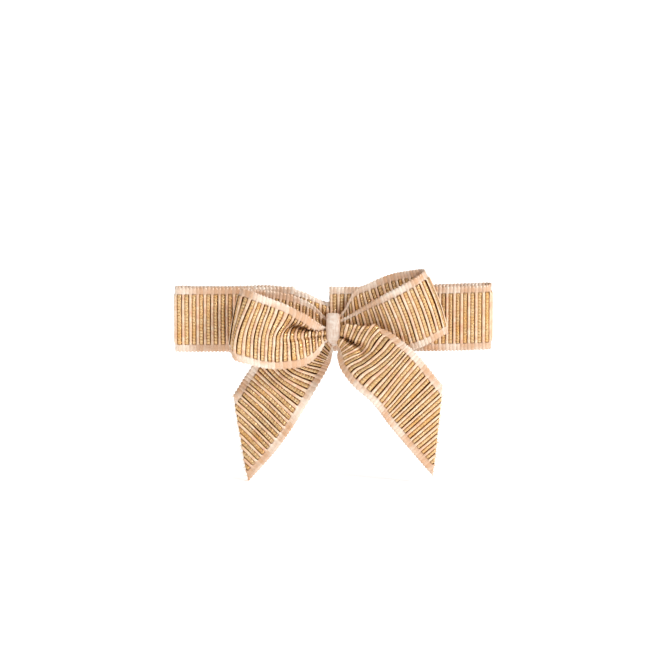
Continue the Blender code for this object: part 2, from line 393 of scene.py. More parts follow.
@dataclass
class RibbonRun:
    """A stretch of ribbon laid across given rungs.

    A rung is a tuple of points from the ribbon's upper edge to its lower edge.
    """

    name: str
    rungs: Sequence[tuple[Point, ...]]
    stock: RibbonStock = field(default_factory=RibbonStock)
    rows: int = 36
    samples_per_rung: int = 12
    cut: tuple[Point, Point] | None = None
    cut_ends: list[CutEnd] = field(default_factory=list)

    def surface(self) -> tuple[np.ndarray, np.ndarray]:
        """Points of the ribbon's middle surface.

        Returns:
            The points, by column and row, and each column's distance along the ribbon.
        """
        cross = np.array([even_points(rung, self.rows + 1) for rung in self.rungs])
        knots = run_lengths(cross[:, self.rows // 2])
        path = SmoothPath(cross, knots)
        places = np.linspace(0, knots[-1], self.samples_per_rung * len(self.rungs))
        lengths = run_lengths(path.at(places)[:, self.rows // 2])
        step = self.stock.rib_pitch / self.stock.columns_per_rib
        along = np.linspace(0, lengths[-1], int(lengths[-1] / step) + 1)
        return path.at(np.interp(along, lengths, places)), along

    def picot_edges(self, points: np.ndarray, along: np.ndarray) -> None:
        """Scallop both selvedges where the weft turns round."""
        pitch = self.stock.rib_pitch / self.stock.weft_turns_per_rib
        swell = self.stock.picot * np.abs(np.sin(math.pi * along / pitch))[:, None]
        for edge, beside in ((0, 1), (-1, -2)):
            outwards = points[:, edge] - points[:, beside]
            outwards /= np.linalg.norm(outwards, axis=1)[:, None] + 1e-9
            points[:, edge] += outwards * swell

    def flat_size(self, length: float) -> tuple[float, float]:
        """Width and length of the ribbon before it was folded, in metres."""
        return (self.stock.width * MM, length * MM)

    def build(self) -> tuple[bpy.types.Object, float]:
        """The ribbon's mesh before its ribs.

        Returns:
            The mesh, with its thickness, and the ribbon's length in mm.
        """
        points, along = self.surface()
        self.picot_edges(points, along)
        columns, rows = points.shape[:2]
        faces = []
        for column in range(columns - 1):
            for row in range(rows - 1):
                first = column * rows + row
                faces.append((first, first + rows, first + rows + 1, first + 1))
        piece = mesh_piece(self.name, points.reshape(-1, 3), faces)
        self.unwrap(piece, along, rows)
        if self.cut:
            self.trim(piece)
        else:
            for edge, beside in ((0, 1), (-1, -2)):
                outwards = Vector(points[edge, 0] - points[beside, 0]).normalized()
                self.cut_ends.append(CutEnd(points[edge], outwards))
        self.thicken(piece)
        return piece, float(along[-1])

    def unwrap(self, piece: bpy.types.Object, along: np.ndarray, rows: int) -> None:
        """UV map: U counts ribs along the ribbon and V runs 0 to 1 across it."""
        layer = piece.data.uv_layers.new(name="UVMap")
        vertex = np.zeros(len(piece.data.loops), int)
        piece.data.loops.foreach_get("vertex_index", vertex)
        across = (vertex % rows) / (rows - 1)
        ribs = along[vertex // rows] / self.stock.rib_pitch
        layer.data.foreach_set("uv", np.stack([ribs, across], axis=1).ravel())

    def trim(self, piece: bpy.types.Object) -> None:
        """Cut the ribbon's end along the line through the two points of ``cut``."""
        first, second = (Vector(point) * MM for point in self.cut)
        line = (second - first).normalized()
        across = Vector((0, 1, 0)).cross(line).normalized()
        if across.dot(first) < 0:
            across.negate()
        bm = bmesh.new()
        bm.from_mesh(piece.data)
        everything = bm.verts[:] + bm.edges[:] + bm.faces[:]
        halves = bmesh.ops.bisect_plane(
            bm, geom=everything, dist=1e-6, plane_co=first, plane_no=across, clear_outer=True
        )
        edge = [item.co / MM for item in halves["geom_cut"] if isinstance(item, bmesh.types.BMVert)]
        edge.sort(key=lambda point: point.dot(line))
        self.cut_ends.append(CutEnd(np.array(edge), across))
        bm.to_mesh(piece.data)
        bm.free()

    def thicken(self, piece: bpy.types.Object) -> None:
        """Give the sheet its thickness."""
        piece.data.shade_smooth()
        solidify = piece.modifiers.new("Thickness", "SOLIDIFY")
        solidify.thickness = self.stock.thickness * MM
        solidify.offset = 0
        solidify.use_even_offset = True
        solidify.use_rim = True


class RibRelief:
    """Raises the satin and gold cords of the ribbon out of its mesh."""

    satin_centre = 0.235
    satin_half = 0.22
    gold_centre = 0.725
    gold_half = 0.255
    selvedge_share = 0.14
    cord_start = 0.9
    cord_slope = 6.0

    def __init__(self, stock: RibbonStock, weave: bpy.types.Material) -> None:
        """Build the group once for every stretch of ribbon."""
        sizes = {
            "Satin height": stock.satin_height * MM,
            "Gold height": stock.gold_height * MM,
            "Selvedge": stock.selvedge / stock.width,
        }
        tree = GeometryTree("Ribbed weave", sizes)
        uv = tree.node(
            "GeometryNodeInputNamedAttribute", {"data_type": "FLOAT_VECTOR"}, Name="UVMap"
        )
        ribs = tree.node("ShaderNodeSeparateXYZ", None, uv)
        across = tree.other(ribs, "Y")
        place = ribs.fract()
        satin = self.cord(place, self.satin_centre, self.satin_half) * tree.size("Satin height")
        gold = self.cord(place, self.gold_centre, self.gold_half) * tree.size("Gold height")
        inside = 0.5 - (across - 0.5).abs()
        body = ((inside / tree.size("Selvedge") - self.cord_start) * self.cord_slope).clamped()
        height = (satin + gold) * (body * (1 - self.selvedge_share) + self.selvedge_share)
        normal = tree.node("GeometryNodeInputNormal")
        offset = tree.node("ShaderNodeVectorMath", {"operation": "SCALE"}, normal, Scale=height)
        moved = tree.node("GeometryNodeSetPosition", None, tree.geometry(), Offset=offset)
        tree.finish(moved, weave)
        self.tree = tree

    @staticmethod
    def cord(place: Socket, centre: float, half: float) -> Socket:
        """Height of a round cord whose centre and half width are shares of the rib pitch."""
        reach = (place - centre).abs() / half
        return (1 - reach * reach).at_least(0.0).root()


@dataclass(frozen=True)
class CutThreads:
    """Short loose threads that stand out of a cut end (mm)."""

    spacing: float = 0.3
    length: float = 1.0
    radius: float = 0.08
    tilt: float = 0.6
    tip_share: float = 0.3
    shortest: float = 0.35
    unevenness: float = 0.9
    lean_seed: int = 3
    sway_seed: int = 11
    length_seed: int = 7

    def grow(self, name: str, end: CutEnd, thread: bpy.types.Material) -> bpy.types.Object:
        """Set threads along a cut end.

        Args:
            name: the new piece's name.
            end: the cut end.
            thread: their material.

        Returns:
            The threads, as one mesh.
        """
        sizes = {
            "Spacing": self.spacing * MM,
            "Length": self.length * MM,
            "Radius": self.radius * MM,
            "Tilt": self.tilt,
            "Out X": end.outwards.x,
            "Out Y": end.outwards.y,
            "Out Z": end.outwards.z,
        }
        tree = GeometryTree("Cut threads", sizes)
        size = tree.size
        curve = tree.node("GeometryNodeMeshToCurve", None, tree.geometry())
        curve = tree.node(
            "GeometryNodeResampleCurve", {"mode": "LENGTH"}, Curve=curve, Length=size("Spacing")
        )
        cone = tree.node(
            "GeometryNodeMeshCone",
            None,
            Vertices=5,
            Radius_Top=size("Radius") * self.tip_share,
            Radius_Bottom=size("Radius"),
            Depth=size("Length"),
        )
        out = tree.node("ShaderNodeCombineXYZ", None, size("Out X"), size("Out Y"), size("Out Z"))
        facing = tree.node("FunctionNodeAlignRotationToVector", {"axis": "Z"}, Vector=out)
        lean = (self.chance(tree, self.lean_seed) - 0.5) * size("Tilt") * 2.0
        sway = (self.chance(tree, self.sway_seed) - 0.5) * size("Tilt") * 2.0
        turn = tree.node("ShaderNodeCombineXYZ", None, lean, sway, 0.0)
        settings = {"rotation_space": "LOCAL"}
        facing = tree.node("FunctionNodeRotateRotation", settings, facing, turn)
        scale = self.chance(tree, self.length_seed) * self.unevenness + self.shortest
        threads = tree.node(
            "GeometryNodeInstanceOnPoints",
            None,
            Points=curve,
            Instance=cone,
            Rotation=facing,
            Scale=scale,
        )
        tree.finish(threads, thread)
        steps = [(number, number + 1) for number in range(len(end.line) - 1)]
        return tree.apply_to(mesh_piece(name, end.line, [], steps))

    @staticmethod
    def chance(tree: GeometryTree, seed: int) -> Socket:
        """A fixed random value between 0 and 1 for each thread."""
        return tree.node("FunctionNodeRandomValue", {"data_type": "FLOAT"}, Seed=seed)


# ---------------------------------------------------------------- finishes


@dataclass(frozen=True)
class RibbedWeave:
    """Pale satin cords and beaded gold cords between satin selvedges.

    Along the ribbon a rib is, by share of its pitch: groove, satin cord, seam, gold cord.
    """

    name: str = "ribbed_satin_and_gold_weave"
    satin: tuple = (0.92, 0.62, 0.38, 1)
    satin_light: tuple = (0.99, 0.80, 0.60, 1)
    satin_rose: tuple = (0.84, 0.50, 0.33, 1)
    # Painted shade on the sides of the satin cords.
    satin_side_shade: tuple = (0.62, 0.25, 0.06, 1)
    gold: tuple = (0.77, 0.50, 0.24, 1)
    # Pale gold flecks: partly the lurex's uneven tone, partly painted glints.
    gold_light_and_glints: tuple = (0.99, 0.82, 0.52, 1)
    # Dark gold: the lurex's own dark flecks, and painted shade between the beads and on the cords'
    # sides.
    gold_dark_and_shade: tuple = (0.46, 0.17, 0.015, 1)
    # Deep orange: painted glow of light bounced between the folds.
    gold_painted_glow: tuple = (0.74, 0.36, 0.08, 1)
    # Dark lines between cords: partly the dark ground threads, partly painted shade in the gaps.
    groove: tuple = (0.14, 0.034, 0.001, 1)
    selvedge: tuple = (0.72, 0.42, 0.24, 1)
    # Pale selvedge: painted sheen, and the paler tone of the satin columns.
    selvedge_pale_and_sheen: tuple = (0.96, 0.80, 0.66, 1)
    openness: float = 1.0
    bead_pitch: float = 0.78
    thread_pitch: float = 0.16
    seam: float = 0.465
    relief: float = 0.12
    stock: RibbonStock = field(default_factory=RibbonStock)

    def material(self) -> bpy.types.Material:
        """The ribbon's material, which reads its UV map."""
        shader = Shader(self.name)
        uv = shader.node("ShaderNodeUVMap", {"uv_map": "UVMap"})
        ribs = shader.node("ShaderNodeSeparateXYZ", None, uv)
        across = shader.other(ribs, "Y")
        place, rib = ribs.fract(), ribs.floor()
        run = across * self.stock.width
        edge_share = self.stock.selvedge / self.stock.width
        inside = 0.5 - (across - 0.5).abs()
        selvedge = inside.ramp(edge_share + 0.003, edge_share - 0.003)
        satin = self.band_of(place, RibRelief.satin_centre, RibRelief.satin_half)
        gold = self.band_of(place, RibRelief.gold_centre, RibRelief.gold_half + 0.01)
        beads = self.beads(rib, across)

        slow = shader.noise(shader.pair(rib * 0.83, run * 0.16), 1.0, 2.0)
        spread = (slow * 0.7 + shader.chance(rib) * 0.3).ramp(0.38, 0.68)
        gap = 0.5 - (place - 0.5).abs()
        spread = spread * self.openness
        # Groove, dash, seam and tuck masks draw the dark lines between cords, between beads and at
        # the selvedge: partly the ground threads and joints, partly painted shade in these gaps.
        groove = (spread * 0.09 + 0.022 - gap).ramp(-0.02, 0.02)
        gold_start = (place - self.seam).abs()
        between_beads = (1 - beads).ramp(0.3, 0.75)
        dash = between_beads * (0.13 * spread + 0.03 - gold_start).ramp(-0.02, 0.03)
        seam = (0.018 + 0.02 * spread - gold_start).ramp(-0.02, 0.01)
        tuck = (0.012 - (inside - edge_share).abs()).ramp(0.0, 0.006) * gold
        dark = (groove + dash * 0.75 + seam * 0.6).clamped() * (1 - selvedge) + tuck * 0.5

        fleck = shader.noise(shader.pair(ribs * 7.0, run * 3.4), 1.0, 3.0)
        tint = shader.noise(shader.pair(rib * 5.3, run * 0.55), 1.0, 2.0)
        # Darker gold at the lurex's dark flecks and between the beads; between the beads it is
        # painted shade.
        gilt = shader.mix((fleck * 0.75 + beads * 0.35).ramp(0.3, 0.62), self.gold_dark_and_shade, self.gold)
        # Pale flecks on the gold: partly the lurex's uneven tone, partly painted glints.
        gilt = shader.mix((fleck * 0.8 + tint * 0.35).ramp(0.58, 0.8), gilt, self.gold_light_and_glints)
        # Orange patches laid by noise: painted glow of light bounced in the folds.
        glow_patches = shader.noise(shader.pair(rib * 1.7, run * 0.22), 1.0, 2.0)
        gilt = shader.mix(glow_patches.ramp(0.52, 0.7) * 0.6, gilt, self.gold_painted_glow)
        pale = shader.mix(tint.ramp(0.3, 0.55), self.satin_rose, self.satin)
        pale = shader.mix((tint * 0.6 + fleck * 0.5).ramp(0.5, 0.72), pale, self.satin_light)
        # The sides of each satin and gold cord darken: painted shade that makes the cords look
        # round.
        satin_side_shade = ((place - RibRelief.satin_centre).abs() / RibRelief.satin_half) ** 4
        gold_side_shade = ((place - RibRelief.gold_centre).abs() / RibRelief.gold_half) ** 3
        pale = shader.mix((satin_side_shade * 0.9).clamped(), pale, self.satin_side_shade)
        gilt = shader.mix((gold_side_shade * 0.85).clamped(), gilt, self.gold_dark_and_shade)
        # Selvedge gleam laid by slow noise is painted sheen; the small lift at the satin columns is
        # the selvedge's own paler tone.
        gleam = shader.noise(shader.pair(rib * 0.21, (across - 0.5).abs() * 3.0), 1.0, 2.0)
        gleam = (gleam * 0.9 + fleck * 0.15).ramp(0.44, 0.64) * 0.85 + (1 - gold) * 0.15
        edge = shader.mix(gleam.clamped(), self.selvedge, self.selvedge_pale_and_sheen)
        colour = shader.mix(selvedge, shader.mix(gold, pale, gilt), edge)
        # The dark lines go on last: partly ground threads, partly painted shade.
        colour = shader.mix(dark.clamped(), colour, self.groove)

        sheen = (satin.at_least(selvedge) - dark).clamped()
        metal = (gold * (1 - selvedge) * 0.5).at_least(dark.clamped())
        rough = (0.36 - gold * 0.1 + (fleck - 0.5) * 0.16).at_least(dark.clamped())
        turns = (ribs * self.stock.weft_turns_per_rib * math.pi).sine().abs()
        threads = (run / self.thread_pitch).fract()
        grain = gold * (beads + fleck * 0.8) * (1 - selvedge)
        height = grain + selvedge * turns * 0.6 + (satin + selvedge) * threads * 0.15 - dark * 0.8
        return shader.surface(
            Base_Color=colour,
            Metallic=metal,
            Roughness=rough,
            Coat_Weight=sheen * 0.8,
            Coat_Roughness=0.22,
            Specular_IOR_Level=0.35,
            Normal=shader.bump(height, self.relief * MM, 0.7),
        )

    @staticmethod
    def band_of(place: Socket, centre: float, half: float) -> Socket:
        """Mask of a cord."""
        return (half - (place - centre).abs()).ramp(-0.015, 0.035)

    def beads(self, rib: Socket, across: Socket) -> Socket:
        """Round beads along each gold cord, staggered from one cord to the next."""
        step = (across * (self.stock.width / self.bead_pitch) + rib * 0.37).fract()
        reach = (step - 0.5).abs() * 2.0
        return (1 - reach * reach).at_least(0.0).root()


@dataclass(frozen=True)
class PaleSatin:
    """The narrow satin strip round the knot, with fine threads along it."""

    colour: tuple = (0.70, 0.49, 0.36, 1)
    light: tuple = (0.92, 0.80, 0.70, 1)
    edge: tuple = (0.55, 0.28, 0.14, 1)
    threads: int = 22

    def material(self) -> bpy.types.Material:
        """The strip's material, which reads its UV map: U along the strip and V across it."""
        shader = Shader("pale_satin_strip")
        uv = shader.node("ShaderNodeUVMap", {"uv_map": "UVMap"})
        along = shader.node("ShaderNodeSeparateXYZ", None, uv)
        across = shader.other(along, "Y")
        streaks = shader.noise(shader.pair(along * 0.6, across * 16.0), 1.0, 3.0)
        clouds = shader.noise(shader.pair(along * 1.3, across * 2.5), 1.0, 2.0)
        colour = shader.mix((streaks * 0.6 + clouds * 0.5).ramp(0.42, 0.7), self.colour, self.light)
        rim = ((across - 0.5).abs() * 2.0) ** 5
        colour = shader.mix((rim * 0.8).clamped(), colour, self.edge)
        lines = (across * self.threads).fract()
        twill = (across * self.threads + along * 9.0).fract()
        relief = (lines - 0.5).abs() * 1.2 + twill * 0.25 + streaks * 0.9
        return shader.surface(
            Base_Color=colour,
            Roughness=0.34 + streaks * 0.14,
            Normal=shader.bump(relief, 0.07 * MM, 0.8),
            Coat_Weight=0.35,
            Coat_Roughness=0.22,
        )


@dataclass(frozen=True)
class Speckled:
    """A plain material that a fine grain varies, for the hidden sticky back."""

    name: str
    colour: tuple
    shade: tuple
    roughness: float
    grain: float
    relief: float

    def material(self) -> bpy.types.Material:
        """The material, patterned on Object coordinates."""
        shader = Shader(self.name)
        place = shader.node("ShaderNodeTexCoord")
        place = shader.other(place, "Object")
        grain = shader.noise(place, self.grain, 4.0)
        broad = shader.noise(place, self.grain / 9, 2.0)
        colour = shader.mix((grain * 0.6 + broad * 0.5).ramp(0.3, 0.8), self.shade, self.colour)
        rough = self.roughness + grain * 0.12
        normal = shader.bump(grain, self.relief * MM, 0.5)
        return shader.surface(Base_Color=colour, Roughness=rough, Normal=normal)


class Finish(Enum):
    """The finishes of the sticky back's pieces."""

    GLUE = Speckled("hot_melt_glue", (0.95, 0.88, 0.72, 1), (0.88, 0.78, 0.6, 1), 0.22, 900, 0.05)
    FOAM = Speckled("foam_tape", (0.95, 0.95, 0.93, 1), (0.82, 0.82, 0.8, 1), 0.75, 3500, 0.08)
    PAPER = Speckled("liner_paper", (0.93, 0.89, 0.8, 1), (0.86, 0.8, 0.69, 1), 0.4, 2600, 0.02)
    THREAD = Speckled("cut_threads", (0.95, 0.74, 0.52, 1), (0.55, 0.3, 0.1, 1), 0.5, 1500, 0.02)


# ---------------------------------------------------------------- the bow's parts


@dataclass
class Limb:
    """One loop or tail of the bow, from inside the knot outwards."""

    node: str
    rungs: Sequence[tuple[Point, ...]]
    bend_start: Point
    bend_end: Point
    held: str
    cut: tuple[Point, Point] | None = None
    kept_area: float | None = None

    def bend(self, piece: bpy.types.Object) -> None:
        """Bake the piece's placement into its mesh."""
        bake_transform(piece)

    def build(self, relief: RibRelief, thread: bpy.types.Material) -> bpy.types.Object:
        """Make the limb, with threads at a tail's cut end, and hide the frame's part.

        Args:
            relief: the group that raises the ribs.
            thread: the material of the threads at a tail's cut end.

        Returns:
            The finished piece.
        """
        run = RibbonRun(self.node + "_ribbon", self.rungs, cut=self.cut)
        piece, length = run.build()
        piece = relief.tree.apply_to(piece)
        self.bend(piece)
        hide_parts(self.node)
        if self.cut:
            self.bend(CutThreads().grow(self.node + "_threads", run.cut_ends[0], thread))
        flat = run.flat_size(length)
        area = None if self.kept_area is None else self.kept_area * flat[0] * flat[1]
        LOG.info("%s: %.1f mm of ribbon", piece.name, length)
        return piece


LEFT_LOOP = Limb(
    node="left_loop",
    rungs=[
        (
            (-0.8, -9.0, 0.6), (-0.8, -7.9, -0.1), (-0.8, -9.0, -0.5),
            (-0.8, -8.0, -1.3), (-0.8, -8.8, -1.9), (-0.8, -8.2, -2.5),
        ),
        (
            (-1.9, -9.4, 0.8), (-2.1, -8.0, 0.0), (-2.1, -9.5, -0.5),
            (-2.1, -8.2, -1.4), (-2.1, -9.0, -1.9), (-1.9, -8.4, -2.9),
        ),
        (
            (-2.9, -10.2, 1.3), (-3.3, -10.0, 0.5), (-3.5, -7.7, -0.3), (-3.8, -10.5, -0.5),
            (-3.8, -8.7, -1.6), (-3.8, -9.5, -2.7), (-3.7, -9.2, -3.8), (-3.2, -8.7, -5.1),
        ),
        (
            (-3.7, -10.8, 2.0), (-4.2, -10.8, 0.8), (-4.6, -7.7, -0.2), (-5.4, -11.5, -0.5),
            (-5.3, -9.4, -1.8), (-5.2, -10.2, -3.4), (-5.1, -9.9, -5.0), (-4.7, -9.2, -6.9),
        ),
        (
            (-4.7, -11.5, 2.8), (-5.4, -11.6, 1.4), (-6.2, -8.0, 0.4), (-7.4, -12.4, -0.8),
            (-7.1, -10.3, -2.1), (-6.9, -11.0, -4.1), (-6.7, -10.7, -5.8), (-6.4, -10.0, -8.0),
        ),
        (
            (-6.4, -12.3, 4.2), (-7.1, -12.3, 2.4), (-8.2, -9.1, 1.2), (-9.3, -13.0, -0.8),
            (-9.0, -11.4, -2.4), (-8.8, -11.7, -4.8), (-8.5, -11.4, -6.6), (-8.4, -10.9, -8.6),
        ),
        (
            (-8.6, -13.0, 5.3), (-9.2, -12.9, 3.3), (-10.5, -10.6, 1.5), (-12.0, -13.6, -0.8),
            (-12.0, -12.4, -2.6), (-12.0, -12.5, -4.8), (-12.0, -12.2, -6.8), (-11.9, -11.7, -8.8),
        ),
        (
            (-10.4, -13.5, 6.4), (-10.8, -13.4, 4.3), (-12.1, -12.3, 1.9), (-13.6, -14.0, -0.6),
            (-13.8, -13.2, -2.7), (-14.0, -13.1, -4.7), (-14.0, -12.8, -6.7), (-13.9, -12.3, -8.8),
        ),
        (
            (-13.5, -14.1, 7.8), (-14.0, -14.0, 5.6), (-15.3, -13.9, 2.3), (-16.1, -14.1, -0.5),
            (-16.4, -13.9, -3.4), (-16.5, -13.7, -6.1), (-16.5, -13.3, -8.4),
        ),
        (
            (-17.1, -14.8, 9.3), (-17.6, -14.8, 7.1), (-18.9, -14.8, 3.6), (-19.9, -14.7, 0.3),
            (-20.2, -14.5, -2.3), (-20.3, -14.3, -5.0), (-20.3, -14.0, -7.4),
        ),
        (
            (-20.2, -14.3, 10.4), (-20.8, -14.4, 8.4), (-22.2, -14.4, 4.6),
            (-23.4, -14.3, 0.9), (-24.2, -14.1, -3.7), (-24.2, -13.9, -5.9),
        ),
        ((-21.7, -13.3, 10.7), (-23.4, -13.3, 3.0), (-24.6, -13.2, -4.8)),
        ((-22.3, -11.6, 10.6), (-24.1, -11.6, 2.9), (-25.3, -11.5, -4.7)),
        ((-21.8, -10.0, 10.4), (-23.5, -10.0, 2.7), (-24.8, -9.9, -4.9)),
        ((-19.0, -8.8, 9.9), (-21.5, -8.8, -5.6)),
        ((-14.0, -8.2, 9.3), (-15.6, -8.1, -6.2)),
        ((-8.1, -7.8, 7.6), (-8.6, -7.4, 1.2), (-8.8, -7.6, -5.4)),
        ((-4.4, -7.6, 5.4), (-4.6, -6.9, 3.0), (-4.5, -7.5, 0.6), (-4.4, -7.2, -3.4)),
        ((-2.2, -7.4, 3.1), (-2.2, -6.9, 1.2), (-2.2, -7.3, -0.6), (-2.2, -7.0, -2.4)),
        ((-0.8, -7.4, 2.2), (-0.8, -7.1, 0.4), (-0.8, -7.2, -2.0)),
    ],
    bend_start=(-1.8, 0, 0),
    bend_end=(-6.5, 0, 0),
    held="gathered",
)

RIGHT_LOOP = Limb(
    node="right_loop",
    rungs=[
        ((0.8, -7.6, 1.8), (0.8, -7.2, 0.2), (0.8, -7.4, -1.8)),
        ((2.4, -7.8, 2.6), (2.6, -7.2, 0.8), (2.5, -7.5, -1.8)),
        ((4.9, -8.6, 4.2), (5.6, -8.1, 1.0), (6.0, -8.4, -2.6)),
        ((8.8, -11.0, 7.0), (10.0, -10.2, 3.6), (10.9, -10.1, 0.0), (11.4, -9.5, -3.9)),
        ((12.2, -13.5, 9.3), (15.0, -12.6, 2.4), (16.9, -11.0, -4.6)),
        ((16.4, -15.1, 11.8), (19.4, -14.1, 4.2), (21.6, -12.4, -3.2)),
        ((20.0, -15.1, 13.9), (23.2, -14.1, 6.2), (25.4, -12.5, -1.2)),
        ((21.6, -13.6, 14.8), (24.7, -12.9, 7.3), (27.0, -11.8, -0.3)),
        ((22.1, -11.4, 15.0), (25.3, -11.0, 7.6), (27.7, -10.5, -0.4)),
        ((21.6, -9.3, 14.9), (24.8, -9.3, 7.4), (27.2, -9.3, -0.6)),
        ((18.4, -8.0, 14.4), (23.6, -8.0, -0.9)),
        ((13.6, -7.2, 13.3), (17.8, -7.2, -2.0)),
        ((8.4, -6.6, 11.0), (10.4, -6.6, 4.0), (11.0, -6.6, -2.9)),
        ((4.8, -6.1, 8.8), (5.6, -6.0, 3.2), (5.6, -6.0, -2.6)),
        ((2.5, -5.9, 4.4), (2.7, -5.7, 1.2), (2.6, -5.9, -2.2)),
        ((0.8, -5.8, 2.4), (0.8, -5.7, 0.2), (0.8, -5.8, -2.0)),
    ],
    bend_start=(1.8, 0, 0),
    bend_end=(6.5, 0, 0),
    held="gathered",
)

LEFT_TAIL = Limb(
    node="left_tail",
    rungs=[
        ((-0.8, -5.9, 1.4), (-0.5, -5.6, -0.8), (0.4, -5.8, -3.4)),
        ((-2.4, -5.6, 0.4), (-1.8, -5.4, -2.2), (-0.1, -5.6, -4.7)),
        ((-4.4, -5.5, -0.4), (-2.7, -5.2, -3.5), (-0.4, -5.6, -6.1)),
        ((-7.6, -5.5, -0.9), (-4.4, -5.2, -5.4), (-0.7, -5.6, -7.6)),
        ((-12.8, -5.4, -2.2), (-7.8, -5.2, -8.2), (-1.6, -5.6, -9.9)),
        ((-16.6, -4.9, -5.3), (-11.2, -5.4, -11.3), (-4.3, -6.3, -14.6)),
        ((-20.9, -4.8, -11.2), (-15.0, -6.1, -16.4), (-8.8, -7.8, -22.0)),
        ((-24.4, -5.3, -16.7), (-18.4, -6.9, -22.0), (-12.6, -8.9, -27.5)),
        ((-34.5, -6.6, -28.1), (-28.5, -8.3, -33.4), (-22.6, -10.3, -38.8)),
    ],
    bend_start=(-1.2, 0, -3.4),
    bend_end=(-4.6, 0, -7.6),
    held="hung",
    cut=((-20.8, -8.5, -36.9), (-24.4, -7.0, -16.6)),
    kept_area=0.72,
)

RIGHT_TAIL = Limb(
    node="right_tail",
    rungs=[
        (
            (0.8, -9.0, 1.1), (1.0, -8.2, -0.1), (0.9, -9.0, -0.9),
            (0.8, -7.8, -1.7), (0.8, -8.9, -2.4), (0.8, -8.4, -3.5),
        ),
        (
            (3.0, -8.6, -0.1), (3.1, -9.8, 1.3), (2.9, -10.8, 0.6), (2.6, -10.4, -0.7),
            (2.6, -8.2, -1.9), (1.9, -10.4, -2.5), (1.6, -9.9, -3.6), (1.2, -9.2, -4.9),
        ),
        (
            (5.2, -9.2, -0.5), (5.3, -10.8, 1.3), (4.9, -11.9, 0.4), (4.3, -11.6, -1.1),
            (4.0, -9.2, -2.5), (3.0, -11.4, -3.4), (2.0, -11.0, -4.4), (1.1, -10.2, -5.5),
        ),
        (
            (7.8, -10.2, -0.5), (7.7, -11.8, 1.2), (6.7, -13.0, 0.2), (5.8, -12.7, -1.5),
            (5.3, -10.5, -3.1), (3.9, -12.4, -3.9), (2.5, -12.0, -4.9), (1.1, -11.1, -6.2),
        ),
        (
            (10.9, -11.9, 0.6), (10.4, -12.9, 1.8), (8.7, -13.9, 0.2), (7.7, -13.6, -1.5),
            (6.8, -12.0, -3.8), (5.1, -13.4, -4.6), (3.3, -13.1, -5.5), (1.3, -12.1, -7.0),
        ),
        (
            (13.0, -13.9, 0.6), (11.8, -14.2, -0.0), (9.8, -14.8, -2.0), (8.9, -14.3, -3.9),
            (7.4, -13.6, -5.5), (5.1, -14.3, -6.4), (3.5, -13.9, -7.4), (1.9, -13.0, -8.7),
        ),
        (
            (14.6, -14.6, -0.3), (13.2, -14.9, -0.9), (11.4, -15.2, -3.0), (9.2, -15.0, -5.3),
            (7.0, -14.8, -7.1), (4.8, -14.8, -8.2), (3.1, -14.2, -10.4),
        ),
        (
            (16.4, -15.1, -1.7), (15.0, -15.3, -2.7), (13.3, -15.5, -4.5),
            (10.0, -15.6, -7.4), (6.5, -15.5, -9.8), (4.6, -15.0, -12.2),
        ),
        ((19.1, -15.6, -3.9), (14.0, -16.0, -9.9), (8.9, -15.9, -16.0)),
        ((25.4, -15.0, -11.6), (19.7, -15.2, -17.0), (13.9, -15.2, -22.5)),
        ((37.3, -12.6, -25.8), (31.1, -12.6, -30.9), (25.0, -12.6, -36.0)),
    ],
    bend_start=(1.6, 0, -3.0),
    bend_end=(5.0, 0, -7.0),
    held="hung",
    cut=((24.1, -12.6, -35.0), (26.3, -14.4, -12.0)),
    kept_area=0.72,
)


